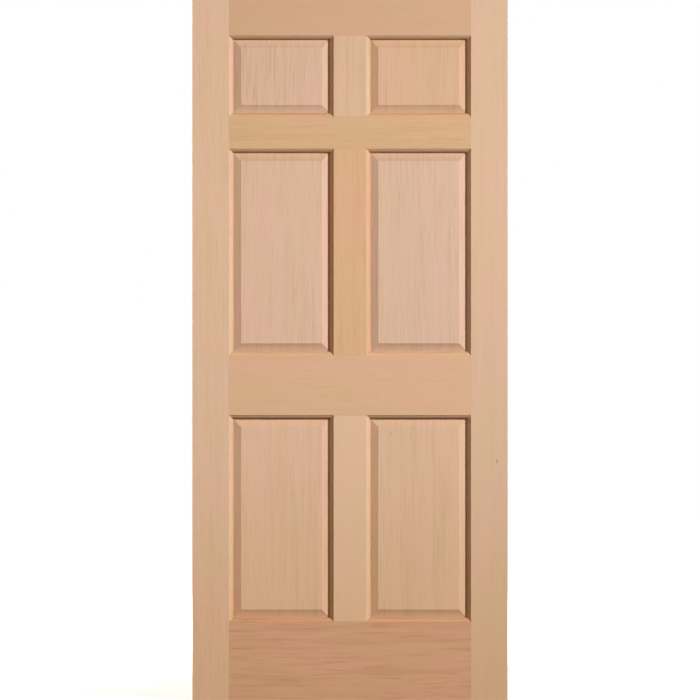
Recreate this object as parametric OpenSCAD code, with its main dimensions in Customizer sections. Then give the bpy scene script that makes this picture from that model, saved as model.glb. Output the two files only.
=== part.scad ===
// Six-panel front door slab of solid fir, built stile-and-rail with raised panels.
// X is the width, Y the thickness and Z the height, in millimetres. The outside face looks
// along -Y, and the origin is the middle of the bottom edge.

/* [Slab] */
// Width of the slab
door_w = 914.4; // [760:0.1:1220]
// Height of the slab
door_h = 2032; // [1680:1:2450]
// Thickness of the stiles, rails and mullions
door_t = 44.45; // [40:0.05:57.15]

/* [Stiles, rails and mullions] */
// Face width of each stile, outside the moulded edge
stile_w = 106.7; // [85:0.1:150]
// Face width of each mullion, between its moulded edges
mullion_w = 95.2; // [75:0.1:140]
// Face height of the top rail
top_rail_h = 104.5; // [80:0.1:150]
// Face height of the frieze rail, below the upper panels
frieze_rail_h = 93.7; // [75:0.1:150]
// Face height of the lock rail
lock_rail_h = 174.4; // [120:0.1:250]
// Face height of the bottom rail
bottom_rail_h = 228.5; // [150:0.1:320]
// Height of the upper openings
upper_opening_h = 234.5; // [180:0.1:320]

/* [Moulded edge and groove] */
// Width of the ovolo moulding, seen from the front
moulding_w = 11.1; // [10:0.1:14]
// Depth of the square step between the face and the ovolo
moulding_step = 1.6; // [0.8:0.1:2]
// Height of the ovolo, from the step down to the groove's lip
ovolo_h = 11.7; // [9:0.1:12.2]
// Radius of the ovolo's round
ovolo_r = 15.4; // [13:0.1:24]
// Width of the panel groove, across the door's thickness
groove_w = 15.9; // [12:0.1:16.5]
// Depth of the panel groove, from the moulding's lip
groove_d = 12.7; // [11:0.1:16]

/* [Panels] */
// Thickness of a panel at its raised field
panel_t = 28.6; // [25:0.1:36]
// Width of the bevel between the field and the flat rim
bevel_w = 22.4; // [15:0.1:28]
// Radius of the shallow hollow that the bevel is swept to
bevel_r = 150; // [120:1:600]
// Width of the flat rim that shows beside the moulding's lip
rim_show = 0.8; // [0.3:0.1:3]
// Room left for the panel to swell, from its edge to the groove's floor
panel_room = 3.2; // [1.5:0.1:5]
// Clearance between the panel's rim and each wall of the groove
panel_slack = 0.15; // [0.1:0.01:0.4]

/* [Joints] */
// Clearance at each coped joint between two members
joint_gap = 0.1; // [0.05:0.01:0.3]
// Diameter of every dowel
dowel_d = 12.7; // [8:0.1:14]
// Length of a dowel between a rail and a stile
rail_dowel_l = 127; // [80:0.5:160]
// Length of a dowel between a mullion and a rail
mullion_dowel_l = 63.5; // [40:0.5:66]
// Widest spacing wanted between two dowels in a joint
dowel_pitch = 56; // [40:1:80]
// Clearance round a dowel in its hole
dowel_slack = 0.1; // [0.05:0.01:0.3]
// Room for glue past each end of a dowel
dowel_end_room = 1.6; // [0.5:0.1:4]
// Chamfer at each end of a dowel
dowel_chamfer = 1.2; // [0.5:0.1:2]

/* [Hidden] */
$fn = 96;

// Openings, from face to face of the members round them
opening_w = (door_w - 2 * stile_w - mullion_w) / 2;
rails_h = top_rail_h + frieze_rail_h + lock_rail_h + bottom_rail_h;
tall_opening_h = (door_h - rails_h - upper_opening_h) / 2;
opening_x = (mullion_w + opening_w) / 2;

// Where each stile's face meets the rails
shoulder_x = door_w / 2 - stile_w;
// How far the groove's floor lies behind the face line
floor_back = groove_d - moulding_w;
// How far a member is drawn past a joint, before the joint is cut
overrun = stile_w / 2;

lock_rail_z = bottom_rail_h + tall_opening_h;
frieze_rail_z = lock_rail_z + lock_rail_h + tall_opening_h;
top_rail_z = door_h - top_rail_h;

// Each rail: name, lower edge, face height, and whether its lower and upper edges are moulded
rails = [
    ["bottom_rail", 0, bottom_rail_h, [false, true]],
    ["lock_rail", lock_rail_z, lock_rail_h, [true, true]],
    ["frieze_rail", frieze_rail_z, frieze_rail_h, [true, true]],
    ["top_rail", top_rail_z, top_rail_h, [true, false]],
];
// Each row of openings: name, lower edge and height
rows = [
    ["lower", bottom_rail_h, tall_opening_h],
    ["middle", lock_rail_z + lock_rail_h, tall_opening_h],
    ["upper", top_rail_z - upper_opening_h, upper_opening_h],
];
sides = [["left", -1], ["right", 1]];
ends = [["bottom", 0], ["top", 1]];

// Places of the dowels across a joint of the given width, as distances from its middle
function dowel_count(width) = max(2, round(width / dowel_pitch));
function dowel_places(width) =
    let (count = dowel_count(width))
    [for (i = [0 : count - 1]) width * ((i + 0.5) / count - 0.5)];

// ---- Sections of the members: u is across the face and v through the thickness ----

// Centre of the arc of radius r from one point to another, to the right of the way there
function arc_centre(from, to, r) =
    let (way = to - from, half = norm(way) / 2)
    (from + to) / 2 + [way[1], -way[0]] / norm(way) * sqrt(r * r - half * half);

// The ovolo of one moulded edge, on both faces, reaching from the face line at u = 0
// towards +u. It starts inside the member. grow swells it all round.
module moulding_section(grow) {
    top = [0, door_t / 2 - moulding_step];
    lip = top + [moulding_w, -ovolo_h];
    for (back = [0, 1]) mirror([0, back]) intersection() {
        translate(arc_centre(top, lip, ovolo_r)) circle(ovolo_r + grow);
        translate([-moulding_w, 0]) square([2 * moulding_w + grow, door_t / 2]);
    }
}

// The groove that a moulded edge has for the panel's rim
module groove_section(grow) {
    width = groove_w - 2 * grow;
    translate([grow - floor_back, -width / 2]) square([2 * groove_d, width]);
}

// Puts what it is given on the moulded edges of a member's section
module on_edges(width, edges) {
    if (edges[0]) mirror([1, 0]) children();
    if (edges[1]) translate([width, 0]) children();
}

// Section of a whole member, with its face from u = 0 to u = width
module member_section(width, edges, grow = 0) {
    difference() {
        union() {
            translate([-grow, -door_t / 2 - grow])
                square([width + 2 * grow, door_t + 2 * grow]);
            on_edges(width, edges) moulding_section(grow);
        }
        on_edges(width, edges) groove_section(grow);
    }
}

// ---- Members ----

// Extrudes a section along X, centred, with u upwards
module along_x(length) {
    rotate([0, -90, 0]) linear_extrude(length, center = true) children();
}

module stile_body(grow = 0) {
    translate([-door_w / 2, 0, -grow])
        linear_extrude(door_h + 2 * grow) member_section(stile_w, [false, true], grow);
}

module rail_body(rail, length, grow = 0) {
    translate([0, 0, rail[1]]) along_x(length) member_section(rail[2], rail[3], grow);
}

module stile(side) {
    color("#dbb494") difference() {
        mirror([side > 0 ? 1 : 0, 0, 0]) stile_body();
        for (rail = rails) rail_dowel_holes(rail, side);
    }
}

// A rail runs between the stiles. Each end is coped over the stile's moulding, with a stub
// tenon in the stile's groove.
module rail(rail) {
    color("#d7ae8b") difference() {
        rail_body(rail, 2 * (shoulder_x + overrun));
        for (side = [0, 1]) mirror([side, 0, 0]) stile_body(joint_gap);
        for (side = sides) rail_dowel_holes(rail, side[1]);
        for (i = [0 : len(rows) - 1], end = ends)
            if (rails[i + end[1]][0] == rail[0]) mullion_dowel_holes(rows[i], end[1]);
    }
}

// A mullion runs between two rails, coped to them in the same way
module mullion(row) {
    index = search([row[0]], rows)[0];
    color("#d9b08c") difference() {
        translate([-mullion_w / 2, 0, row[1] - overrun])
            linear_extrude(row[2] + 2 * overrun) member_section(mullion_w, [true, true]);
        for (end = ends)
            rail_body(rails[index + end[1]], 2 * mullion_w, joint_gap);
        for (end = ends) mullion_dowel_holes(row, end[1]);
    }
}

// ---- Panels ----

// Section of a raised panel for an opening of the given size: u is across the panel and v
// through its thickness
module panel_section(size) {
    edge_u = size / 2 + floor_back - panel_room;
    rim = [size / 2 - moulding_w - rim_show, groove_w / 2 - panel_slack];
    difference() {
        square([2 * edge_u, panel_t], center = true);
        for (left = [0, 1], back = [0, 1]) mirror([left, 0]) mirror([0, back])
            raised_edge([rim[0] - bevel_w, panel_t / 2], rim, edge_u);
    }
}

// What is cut from a panel's edge: the shallow hollow bevel from the field to the rim, and
// all that stands above the flat rim
module raised_edge(field, rim, edge_u) {
    intersection() {
        translate(arc_centre(rim, field, bevel_r)) circle(bevel_r);
        translate([0, rim[1]]) square([edge_u + panel_room, panel_t]);
    }
}

// The bevels meet in mitres, because the panel is what the two sections share
module panel(row, side) {
    color("#dcb494") translate([side * opening_x, 0, row[1] + row[2] / 2]) intersection() {
        linear_extrude(row[2] + 2 * groove_d, center = true) panel_section(opening_w);
        along_x(opening_w + 2 * groove_d) panel_section(row[2]);
    }
}

// ---- Dowels ----

module dowel(length) {
    straight = length - 2 * dowel_chamfer;
    cylinder(d = dowel_d, h = straight, center = true);
    for (end = [0, 1]) mirror([0, 0, end]) translate([0, 0, straight / 2])
        cylinder(d1 = dowel_d, d2 = dowel_d - 2 * dowel_chamfer, h = dowel_chamfer);
}

module dowel_hole(length) {
    cylinder(d = dowel_d + 2 * dowel_slack, h = length + 2 * dowel_end_room, center = true);
}

// Puts what it is given at each dowel's place in a joint, lying along the dowel
module at_rail_joint(rail, side) {
    for (place = dowel_places(rail[2]))
        translate([side * shoulder_x, 0, rail[1] + rail[2] / 2 + place])
            rotate([0, 90, 0]) children();
}

module at_mullion_joint(row, end) {
    for (place = dowel_places(mullion_w)) translate([place, 0, row[1] + end * row[2]]) children();
}

module rail_dowel_holes(rail, side) {
    at_rail_joint(rail, side) dowel_hole(rail_dowel_l);
}

module mullion_dowel_holes(row, end) {
    at_mullion_joint(row, end) dowel_hole(mullion_dowel_l);
}

module rail_dowels(rail, side) {
    color("#e6cfa6") at_rail_joint(rail, side) dowel(rail_dowel_l);
}

module mullion_dowels(row, end) {
    color("#e6cfa6") at_mullion_joint(row, end) dowel(mullion_dowel_l);
}

for (side = sides)
    stile(side[1]);

for (rail = rails)
    rail(rail);

for (row = rows)
    mullion(row);

for (row = rows, side = sides)
    panel(row, side[1]);

for (rail = rails, side = sides)
    rail_dowels(rail, side[1]);

for (row = rows, end = ends)
    mullion_dowels(row, end[1]);
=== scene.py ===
"""The looks of a six-panel front door slab of clear fir, and the studio it stands in.

Lengths are in metres, or in millimetres where a name ends in _MM or _mm. The door stands on the floor:
X runs across it, Y runs through it to the inside, and Z runs up it.
"""
import math

import bpy
from mathutils import Matrix, Vector


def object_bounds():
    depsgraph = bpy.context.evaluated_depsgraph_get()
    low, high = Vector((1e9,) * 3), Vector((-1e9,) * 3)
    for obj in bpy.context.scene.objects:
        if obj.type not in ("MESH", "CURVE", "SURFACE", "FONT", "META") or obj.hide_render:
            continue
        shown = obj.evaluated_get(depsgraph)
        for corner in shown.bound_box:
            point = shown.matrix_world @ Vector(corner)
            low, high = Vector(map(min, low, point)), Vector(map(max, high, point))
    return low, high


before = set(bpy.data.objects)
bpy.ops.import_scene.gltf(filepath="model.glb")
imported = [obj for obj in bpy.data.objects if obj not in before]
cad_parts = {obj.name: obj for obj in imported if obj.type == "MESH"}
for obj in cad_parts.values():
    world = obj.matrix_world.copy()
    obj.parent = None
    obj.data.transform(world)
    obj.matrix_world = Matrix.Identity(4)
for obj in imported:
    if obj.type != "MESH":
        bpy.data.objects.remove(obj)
CAD_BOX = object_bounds()

MM = 0.001
DOOR_LOW, DOOR_HIGH = Vector(CAD_BOX[0]), Vector(CAD_BOX[1])
DOOR_MIDDLE = (DOOR_LOW + DOOR_HIGH) / 2
DOOR_H = DOOR_HIGH.z - DOOR_LOW.z
# The painted warm light from the floor fades out at this height
FOOT_TOP = DOOR_LOW.z + 0.8

# Sockets of Blender's Mix node when it mixes colours
MIX_A, MIX_B, MIXED = 6, 7, 2


def linear(colour):
    """Turns an sRGB hex colour such as "#dab392" into linear red, green, blue and alpha."""
    parts = [int(colour[i:i + 2], 16) / 255 for i in (1, 3, 5)]
    return [p / 12.92 if p <= 0.04045 else ((p + 0.055) / 1.055) ** 2.4 for p in parts] + [1]


def add(tree, kind, inputs=None, **settings):
    """Adds a node, sets its properties, and gives each input, by name or number, a value or a link."""
    node = tree.nodes.new(kind)
    for name, value in settings.items():
        setattr(node, name, value)
    for place, value in (inputs or {}).items():
        if isinstance(value, bpy.types.NodeSocket):
            tree.links.new(value, node.inputs[place])
        else:
            node.inputs[place].default_value = value
    return node


def new_material(name):
    """An empty node material and its tree."""
    material = bpy.data.materials.new(name)
    material.use_nodes = True
    material.node_tree.nodes.clear()
    return material, material.node_tree


# ---------------------------------------------------------------- fir

# Sizes of the wood's features, across, through and along the grain. Fine streaks, where rings lie close,
# are 1 to 4 mm wide on real fir, and resin ducts 0.3 mm: the broad streaks are drawn up to 7 mm wide and
# the ducts about 1 mm, to show at the distance the door is seen from
BROAD_STREAK_MM = (13, 40, 380)
FINE_STREAK_MM = (3, 14, 130)
RESIN_DUCT_MM = (1.5, 3, 34)
SLOW_GROWTH_MM = (60, 80, 300)
PATCH_MM = (70, 80, 260)
# A ring of slow-grown fir is about 1.8 mm wide, and rings wander a few millimetres along a board
RING_MM = 1.8
WANDER_MM = 9
WANDER_LUMP_MM = (90, 90, 420)
# How far a ring shifts sideways, for each step through the board
RING_LEAN = 0.2
# Across a ring, from 0 to 1, the latewood gathers slowly and ends sharply
LATEWOOD_GATHERS = (0.35, 0.9)
LATEWOOD_ENDS = (0.93, 1.0)
# Pitch flecks, up to 3 mm wide and 15 mm long, are rare: one to a cell at most, and only where the
# cell's random grey is above PITCH_CHOSEN
PITCH_CELL_MM = (60, 300)
PITCH_CHOSEN = 0.62
# Sandpaper takes every sharp arris down to about half a millimetre
ARRIS_MM = 0.6
# How deep the rings and ducts are drawn into the sanded face, and how strongly
GRAIN_DEPTH_MM = 0.06
GRAIN_STRENGTH = 0.25
# Roughness of the sanded face, on clear wood and on a fine streak
SANDED = (0.66, 0.74)
# Sanded fibres scatter light, and shine half as much as a smooth face would, for which this is 0.5
SANDED_SHINE = 0.25
# Metres from one board's place in the wood to the next one's, so that no two boards match
NEXT_BOARD = (1.7, 0.4, 2.3)

# Where the noise behind each feature lets it begin to show, and where it shows in full
BROAD_STREAK_SHOWS = (0.42, 0.72)
FINE_STREAK_SHOWS = (0.5, 0.72)
RESIN_DUCT_SHOWS = (0.60, 0.72)
PATCH_SHOWS = (0.3, 0.7)
# The same for a fleck, by the distance from its middle, in cells
PITCH_SHOWS = (0.034, 0.018)
# Where growth counts as fast and as slow, and how much each strengthens the fine streaks
SLOW_GROWTH_SHOWS = (0.35, 0.65)
CROWDING = (0.4, 1.6)

# What each feature of the wood, and the painted shade and warm light, multiply the board's own colour by,
# at its fullest
PINK_PATCH = (1.02, 0.99, 1.02, 1)
STRAW_PATCH = (0.985, 1.01, 0.965, 1)
LATEWOOD = linear("#e0cebd")
RESIN_DUCT = linear("#d6bca4")
PITCH = linear("#8f6647")
END_GRAIN = linear("#d8c6b4")
# Partly flat grain that shows more latewood, partly painted shade on the mouldings' sides
FLAT_GRAIN_AND_SHADE_TINT = linear("#e8dbcd")
# Painted warm light near the floor: the foot is tinted redder and darker
PAINTED_WARMTH_TINT = (1, 0.93, 0.81, 1)
# How much of its tint rings and pitch take
RING_CONTRAST = 0.25
PITCH_CONTRAST = 0.6


def lumps(tree, board, size_mm, detail=1, roughness=0.5):
    """Noise whose lumps measure size_mm across, through and along the board."""
    stretched = add(tree, "ShaderNodeVectorMath", {0: board, 1: [1 / (MM * size) for size in size_mm]},
                    operation="MULTIPLY").outputs[0]
    return add(tree, "ShaderNodeTexNoise", {
        "Vector": stretched, "Scale": 1, "Detail": detail, "Roughness": roughness,
    }).outputs["Fac"]


def marks(tree, board, size_mm, shows, **noise):
    """Soft marks where lumps of noise rise through the two levels in shows, from 0 to 1."""
    return add(tree, "ShaderNodeMapRange", {
        "Value": lumps(tree, board, size_mm, **noise), "From Min": shows[0], "From Max": shows[1],
    }, interpolation_type="SMOOTHSTEP").outputs["Result"]


def board_place(tree, level, number):
    """Where a point lies in its board's own stretch of wood: across, through and along the grain."""
    place = add(tree, "ShaderNodeTexCoord").outputs["Object"]
    turn = (0, math.pi / 2, 0) if level else (0, 0, 0)
    return add(tree, "ShaderNodeMapping", {
        "Vector": place, "Location": [step * number for step in NEXT_BOARD], "Rotation": turn,
    }).outputs["Vector"]


def growth_rings(tree, board):
    """The rings of quarter-sawn wood: planes that run along the board and nearly square to its face."""
    parts = add(tree, "ShaderNodeSeparateXYZ", {"Vector": board}).outputs
    wander = lumps(tree, board, WANDER_LUMP_MM)
    leaning = add(tree, "ShaderNodeMath", {0: parts["Y"], 1: RING_LEAN, 2: parts["X"]},
                  operation="MULTIPLY_ADD").outputs[0]
    bent = add(tree, "ShaderNodeMath", {0: wander, 1: WANDER_MM * MM, 2: leaning},
               operation="MULTIPLY_ADD").outputs[0]
    ring = add(tree, "ShaderNodeMath", {0: bent, 1: RING_MM * MM}, operation="DIVIDE").outputs[0]
    within = add(tree, "ShaderNodeMath", {0: ring}, operation="FRACT").outputs[0]
    gathered, ended = (
        add(tree, "ShaderNodeMapRange", {"Value": within, "From Min": start, "From Max": end},
            interpolation_type="SMOOTHSTEP").outputs["Result"]
        for start, end in (LATEWOOD_GATHERS, LATEWOOD_ENDS)
    )
    return add(tree, "ShaderNodeMath", {0: gathered, 1: ended}, operation="SUBTRACT").outputs[0]


def turned_to(tree, direction):
    """How squarely a face looks along a direction, either way, from 0 to 1."""
    cosine = add(tree, "ShaderNodeVectorMath", {
        0: add(tree, "ShaderNodeNewGeometry").outputs["Normal"], 1: direction,
    }, operation="DOT_PRODUCT").outputs["Value"]
    return add(tree, "ShaderNodeMath", {0: cosine}, operation="ABSOLUTE").outputs[0]


def pitch_flecks(tree, board):
    """Small round-ended flecks, in some of the cells that the board is divided into."""
    across, along = (1 / (MM * size) for size in PITCH_CELL_MM)
    stretched = add(tree, "ShaderNodeVectorMath", {0: board, 1: (across, 0, along)},
                    operation="MULTIPLY").outputs[0]
    cells = add(tree, "ShaderNodeTexVoronoi", {"Vector": stretched, "Scale": 1, "Randomness": 1},
                feature="F1").outputs
    near = add(tree, "ShaderNodeMapRange", {
        "Value": cells["Distance"], "From Min": PITCH_SHOWS[0], "From Max": PITCH_SHOWS[1],
    }, interpolation_type="SMOOTHSTEP").outputs["Result"]
    chosen = add(tree, "ShaderNodeMath", {0: cells["Color"], 1: PITCH_CHOSEN},
                 operation="GREATER_THAN").outputs[0]
    return add(tree, "ShaderNodeMath", {0: near, 1: chosen}, operation="MULTIPLY").outputs[0]


def cut_across(tree, along, cross):
    """How far a face cuts across the grain, from 0 to 1. The higher cross is, the sooner it is 1."""
    turned = turned_to(tree, along)
    squared = add(tree, "ShaderNodeMath", {0: turned, 1: turned}, operation="MULTIPLY").outputs[0]
    return add(tree, "ShaderNodeMath", {0: squared, 1: cross},
               operation="MULTIPLY", use_clamp=True).outputs[0]


def painted_floor_warmth(tree):
    """Painted warm light from the floor, which tints the foot redder and darker: 1 at the floor, and 0
    from FOOT_TOP up.
    """
    place = add(tree, "ShaderNodeTexCoord").outputs["Object"]
    height = add(tree, "ShaderNodeSeparateXYZ", {"Vector": place}).outputs["Z"]
    return add(tree, "ShaderNodeMapRange", {
        "Value": height, "From Min": FOOT_TOP, "From Max": DOOR_LOW.z,
    }, interpolation_type="SMOOTHSTEP").outputs["Result"]


def fir(name, colour, number, fine, broad, level=False, ducts=0.2, cross=5):
    """Vertical-grain Douglas fir, planed and fine sanded, with no finish on it.

    The eye gets a warm, matt pink-tan, with fine straight lines of darker latewood that gather
    into soft streaks, faint pink and straw patches, short fine resin ducts, and darker end grain.

    Number gives the board its own place in the wood, and level says that its grain isn't upright. Fine,
    broad and ducts say how strongly its streaks and ducts show, and cross how soon a face darkens as it
    turns to cut across the grain.
    """
    material, tree = new_material(name)
    board = board_place(tree, level, number)

    broad_streak = marks(tree, board, BROAD_STREAK_MM, BROAD_STREAK_SHOWS, detail=2)
    # Fine streaks crowd where the tree grew slowly
    crowding = add(tree, "ShaderNodeMapRange", {
        "Value": lumps(tree, board, SLOW_GROWTH_MM),
        "From Min": SLOW_GROWTH_SHOWS[0], "From Max": SLOW_GROWTH_SHOWS[1],
        "To Min": CROWDING[0], "To Max": CROWDING[1],
    }).outputs["Result"]
    even_streak = marks(tree, board, FINE_STREAK_MM, FINE_STREAK_SHOWS, roughness=0.6)
    fine_streak = add(tree, "ShaderNodeMath", {0: even_streak, 1: crowding},
                      operation="MULTIPLY").outputs[0]
    rings = growth_rings(tree, board)
    duct = marks(tree, board, RESIN_DUCT_MM, RESIN_DUCT_SHOWS)
    # Wood drinks in light where its fibres are cut across. Where a moulding turns away from the board's
    # face, it lies along the rings instead and shows more latewood; its darker tint there is partly
    # painted shade on the mouldings' sides
    along, across = ((1, 0, 0), (0, 0, 1)) if level else ((0, 0, 1), (1, 0, 0))
    end_grain = cut_across(tree, along, cross)
    flat_grain_and_shade = turned_to(tree, across)

    patches = marks(tree, board, PATCH_MM, PATCH_SHOWS, detail=0.5)
    tone = add(tree, "ShaderNodeMix", {"Factor": patches, MIX_A: STRAW_PATCH, MIX_B: PINK_PATCH},
               data_type="RGBA").outputs[MIXED]
    shade = add(tree, "ShaderNodeMix", {"Factor": 1, MIX_A: linear(colour), MIX_B: tone},
                data_type="RGBA", blend_type="MULTIPLY").outputs[MIXED]
    # Of these tints, the one at the foot is painted warm light from the floor, and the flat grain one is
    # partly painted shade on the mouldings' sides
    for amount, most, tint in (
        (broad_streak, broad, LATEWOOD), (fine_streak, fine, LATEWOOD), (rings, RING_CONTRAST, LATEWOOD),
        (duct, ducts, RESIN_DUCT), (pitch_flecks(tree, board), PITCH_CONTRAST, PITCH),
        (end_grain, 1, END_GRAIN), (flat_grain_and_shade, 1, FLAT_GRAIN_AND_SHADE_TINT), (painted_floor_warmth(tree), 1, PAINTED_WARMTH_TINT),
    ):
        shown = add(tree, "ShaderNodeMath", {0: amount, 1: most}, operation="MULTIPLY").outputs[0]
        shade = add(tree, "ShaderNodeMix", {"Factor": shown, MIX_A: shade, MIX_B: tint},
                    data_type="RGBA", blend_type="MULTIPLY").outputs[MIXED]

    roughness = add(tree, "ShaderNodeMapRange", {
        "Value": fine_streak, "To Min": SANDED[0], "To Max": SANDED[1],
    })
    eased = add(tree, "ShaderNodeBevel", {"Radius": ARRIS_MM * MM}, samples=4).outputs["Normal"]
    hollow = add(tree, "ShaderNodeMath", {0: rings, 1: duct}, operation="ADD").outputs[0]
    surface = add(tree, "ShaderNodeBump", {
        "Strength": GRAIN_STRENGTH, "Distance": GRAIN_DEPTH_MM * MM, "Height": hollow, "Normal": eased,
    }, invert=True).outputs["Normal"]
    shader = add(tree, "ShaderNodeBsdfPrincipled", {
        "Base Color": shade, "Roughness": roughness.outputs["Result"], "IOR": 1.5,
        "Specular IOR Level": SANDED_SHINE, "Normal": surface,
    })
    add(tree, "ShaderNodeOutputMaterial", {"Surface": shader.outputs["BSDF"]})
    return material


# ---------------------------------------------------------------- birch

# Lumps of grain along X, Y and Z: most of the rods lie along X
BIRCH_GRAIN_MM = (6, 2, 2)
BIRCH_GRAIN_SHOWS = (0.4, 0.7)
BIRCH = linear("#e6cfa6")
BIRCH_GRAIN = linear("#d8bc8e")


def birch(name):
    """Birch rod, turned and cut for dowels: pale cream, even and matt, with a faint fine grain."""
    material, tree = new_material(name)
    place = add(tree, "ShaderNodeTexCoord").outputs["Object"]
    grain = marks(tree, place, BIRCH_GRAIN_MM, BIRCH_GRAIN_SHOWS, detail=2)
    shade = add(tree, "ShaderNodeMix", {"Factor": grain, MIX_A: BIRCH, MIX_B: BIRCH_GRAIN},
                data_type="RGBA").outputs[MIXED]
    shader = add(tree, "ShaderNodeBsdfPrincipled", {"Base Color": shade, "Roughness": 0.65, "IOR": 1.5})
    add(tree, "ShaderNodeOutputMaterial", {"Surface": shader.outputs["BSDF"]})
    return material


# ---------------------------------------------------------------- boards

# The clear colour of each board, and what sets it apart
BOARDS = {
    "left_stile": dict(colour="#d9b89c", fine=0.19, broad=0.09),
    "right_stile": dict(colour="#d5b498", fine=0.07, broad=0.08, ducts=0.12),
    "top_rail": dict(colour="#cda787", level=True, fine=0.04, broad=0.05, ducts=0.1),
    "frieze_rail": dict(colour="#d1ac87", level=True, fine=0.23, broad=0.13),
    "lock_rail": dict(colour="#d5af8e", level=True, fine=0.11, broad=0.07),
    "bottom_rail": dict(colour="#d3a88c", level=True, fine=0.40, broad=0.26),
    "upper_mullion": dict(colour="#d4b596", fine=0.15, broad=0.17),
    "middle_mullion": dict(colour="#d5ad89", fine=0.14, broad=0.22),
    "lower_mullion": dict(colour="#dab99b", fine=0.02, broad=0.03, ducts=0.06),
    "upper_left_panel": dict(colour="#d5b49d", fine=0.32, broad=0.08, cross=3.5),
    "upper_right_panel": dict(colour="#d3af90", fine=0.25, broad=0.11, cross=3.5),
    "middle_left_panel": dict(colour="#d7b69e", fine=0.26, broad=0.09, cross=5.5),
    "middle_right_panel": dict(colour="#d4b59e", fine=0.26, broad=0.09, cross=5.5),
    "lower_left_panel": dict(colour="#dab79b", fine=0.21, broad=0.16, cross=3),
    "lower_right_panel": dict(colour="#d7b698", fine=0.19, broad=0.14, cross=3),
}


def dress(node, material):
    """Gives a CAD node its material."""
    node.data.materials.clear()
    node.data.materials.append(material)


for number, (board_name, looks) in enumerate(BOARDS.items(), start=1):
    dress(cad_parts[board_name], fir("planed_fir_" + board_name, number=number, **looks))

birch_rod = birch("turned_birch")
for node_name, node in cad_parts.items():
    if node_name.endswith("_dowels"):
        dress(node, birch_rod)


# ---------------------------------------------------------------- studio

FLOOR_HALF = 12
FLOOR_WHITE = linear("#f4f3f1")
# The floor shows the door's shadow near its own middle, and glows fully white from the second distance on
SHADOW_FADES = (0.6, 2.6)
LEAST_GLOW = 0.2
# The surround lights the door far less than the white that the camera sees
SURROUND_LIGHT = 0.02
LENS_MM, SENSOR_MM = 200, 36
# The camera's distance, as a share of the one at which the door just fills the height of its view
NEARER = 0.999
# Light that reaches the mouldings' shadows has come off warm timber and walls
WARM_FILL = "#ffdfc0"
WARM_FRONT = "#fff0dd"
# The lights of one face, in metres, degrees and watts. Azimuth is from the face's normal, and positive to
# the right. Aim is how far to the right of the door's middle, and how high, the light points
LIGHTS = {
    "key": dict(azimuth=51, distance=7.0, height=3.6, aim=(-1.9, 0.45), size=0.8, power=142, spread=75),
    "fill": dict(azimuth=-62, distance=6.0, height=3.3, aim=(0, 1.2), size=1.0, power=115,
                 colour=WARM_FILL),
    "front": dict(azimuth=0, distance=5.0, height=0.9, aim=(0, 1.2), size=1.6, power=18,
                  colour=WARM_FRONT),
}


def make_floor():
    """A wide floor in matt white paint, even and without shine."""
    mesh = bpy.data.meshes.new("floor")
    signs = ((-1, -1), (1, -1), (1, 1), (-1, 1))
    corners = [(x * FLOOR_HALF, y * FLOOR_HALF, DOOR_LOW.z) for x, y in signs]
    mesh.from_pydata(corners, [], [(0, 1, 2, 3)])
    floor = bpy.data.objects.new("floor", mesh)
    bpy.context.scene.collection.objects.link(floor)
    material, tree = new_material("matt_white_paint")
    place = add(tree, "ShaderNodeTexCoord").outputs["Object"]
    away = add(tree, "ShaderNodeVectorMath", {0: place}, operation="LENGTH").outputs["Value"]
    glow = add(tree, "ShaderNodeMapRange", {
        "Value": away, "From Min": SHADOW_FADES[0], "From Max": SHADOW_FADES[1],
        "To Min": LEAST_GLOW, "To Max": 1,
    }, interpolation_type="SMOOTHSTEP")
    shader = add(tree, "ShaderNodeBsdfPrincipled", {
        "Base Color": FLOOR_WHITE, "Roughness": 0.8, "Emission Color": (1, 1, 1, 1),
        "Emission Strength": glow.outputs["Result"],
    })
    add(tree, "ShaderNodeOutputMaterial", {"Surface": shader.outputs["BSDF"]})
    mesh.materials.append(material)
    floor.visible_diffuse = False
    floor.visible_glossy = False


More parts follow.
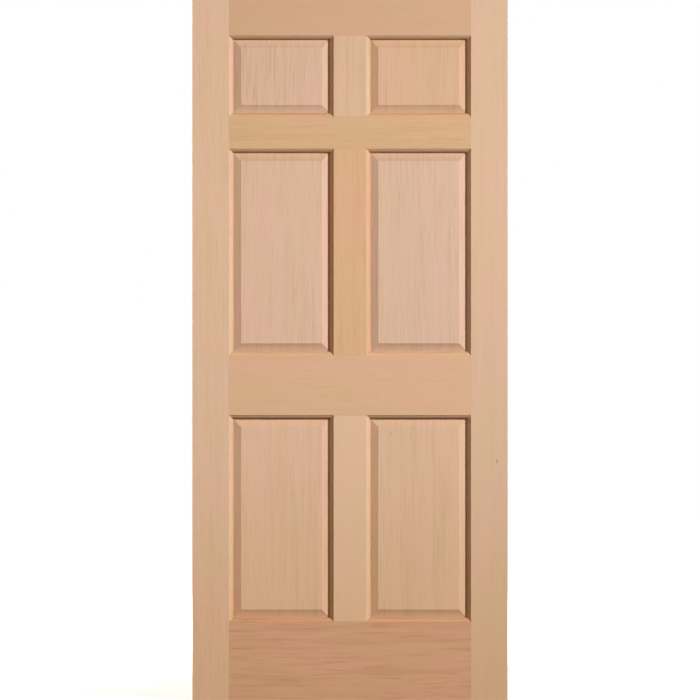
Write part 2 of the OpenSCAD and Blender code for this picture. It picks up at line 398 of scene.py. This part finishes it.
def make_light(name, turn, azimuth, distance, height, aim, size, power, spread=180, colour="#ffffff"):
    """A round soft box, turned round the door from its place before the outside face."""
    lamp = bpy.data.lights.new(name, "AREA")
    lamp.shape = "DISK"
    lamp.size = size
    lamp.energy = power
    lamp.color = linear(colour)[:3]
    lamp.spread = math.radians(spread)
    light = bpy.data.objects.new(name, lamp)
    aside = math.radians(azimuth)
    around = Matrix.Rotation(math.radians(turn), 3, "Z")
    light.location = around @ Vector((distance * math.sin(aside), -distance * math.cos(aside), height))
    towards = around @ Vector((aim[0], 0, aim[1])) - light.location
    light.rotation_euler = towards.to_track_quat("-Z", "Y").to_euler()
    bpy.context.scene.collection.objects.link(light)


def make_world():
    """A white surround that lights the door only a little."""
    world = bpy.data.worlds.new("studio")
    world.use_nodes = True
    tree = world.node_tree
    tree.nodes.clear()
    seen = add(tree, "ShaderNodeLightPath").outputs["Is Camera Ray"]
    strength = add(tree, "ShaderNodeMapRange", {"Value": seen, "To Min": SURROUND_LIGHT, "To Max": 1})
    background = add(tree, "ShaderNodeBackground", {
        "Color": (1, 1, 1, 1), "Strength": strength.outputs["Result"],
    })
    add(tree, "ShaderNodeOutputWorld", {"Surface": background.outputs["Background"]})
    bpy.context.scene.world = world


def make_camera():
    """A long lens, square to the outside face, whose view the door's height just overfills."""
    camera = bpy.data.objects.new("camera", bpy.data.cameras.new("camera"))
    camera.data.lens = LENS_MM
    camera.data.sensor_width = SENSOR_MM
    camera.data.clip_end = 100
    distance = NEARER * DOOR_H * LENS_MM / SENSOR_MM
    camera.location = (DOOR_MIDDLE.x, DOOR_LOW.y - distance, DOOR_MIDDLE.z)
    camera.rotation_euler = (math.pi / 2, 0, 0)
    bpy.context.scene.collection.objects.link(camera)
    bpy.context.scene.camera = camera


make_floor()
make_world()
make_camera()
for side, turn in (("outside", 0), ("inside", 180)):
    for light_name, settings in LIGHTS.items():
        make_light(f"{side}_{light_name}", turn, **settings)
bpy.context.scene.view_settings.view_transform = "Standard"
